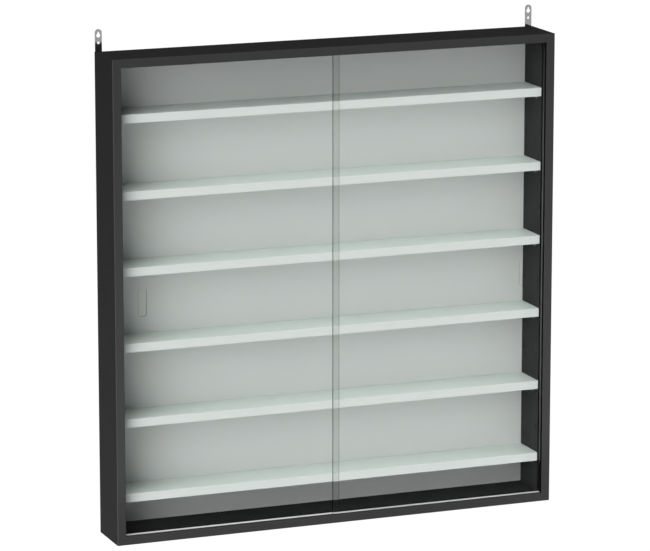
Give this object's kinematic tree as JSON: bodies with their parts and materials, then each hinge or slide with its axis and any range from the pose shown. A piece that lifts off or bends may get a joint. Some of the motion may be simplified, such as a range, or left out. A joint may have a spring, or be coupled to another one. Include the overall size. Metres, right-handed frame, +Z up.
{
  "type": "wall display cabinet",
  "caption": "Shallow black wall display cabinet with white shelves on pins, sliding glass doors with ground finger recesses, and keyhole hangers.",
  "frame": {"origin": "on the wall plane, midway between the centres of the two keyholes that the cabinet hangs from", "axes": "+Z up, +X to the right as seen from the front, +Y back into the wall, so the doors face -Y"},
  "size_m": [0.8, 0.0965, 0.8677],
  "materials": {
    "black_board": "fibreboard wrapped in a satin black film",
    "white_board": "fibreboard with a smooth white film and edge band",
    "white_panel": "thin hardboard, white lacquer in front and raw brown behind",
    "beech": "pressed beech",
    "bright_steel": "zinc plated",
    "nickel_plate": "bright nickel plate",
    "aluminium": "satin anodised",
    "glass": "clear float glass with ground edges"
  },
  "bodies": {
    "cabinet": {"frame_left": "black_board", "frame_right": "black_board", "frame_top": "black_board", "frame_bottom": "black_board", "corner_biscuits": "beech", "back_panel": "white_panel", "back_panel_nails": "bright_steel", "shelf_1": "white_board", "shelf_2": "white_board", "shelf_3": "white_board", "shelf_4": "white_board", "shelf_5": "white_board", "shelf_6": "white_board", "shelf_pins_1": "bright_steel", "shelf_pins_2": "bright_steel", "shelf_pins_3": "bright_steel", "shelf_pins_4": "bright_steel", "shelf_pins_5": "bright_steel", "shelf_pins_6": "bright_steel", "bottom_runner": "aluminium", "hanger_left": "nickel_plate", "hanger_right": "nickel_plate", "hanger_screws": "bright_steel"},
    "left_door": {"door_left": "glass"},
    "right_door": {"door_right": "glass"}
  },
  "joints": [
    {"name": "left_door_slide", "type": "slide", "parent": "cabinet", "child": "left_door", "axis": [1, 0, 0], "range_m": [0, 0.3815]},
    {"name": "right_door_slide", "type": "slide", "parent": "cabinet", "child": "right_door", "axis": [1, 0, 0], "range_m": [-0.3815, 0]}
  ]
}
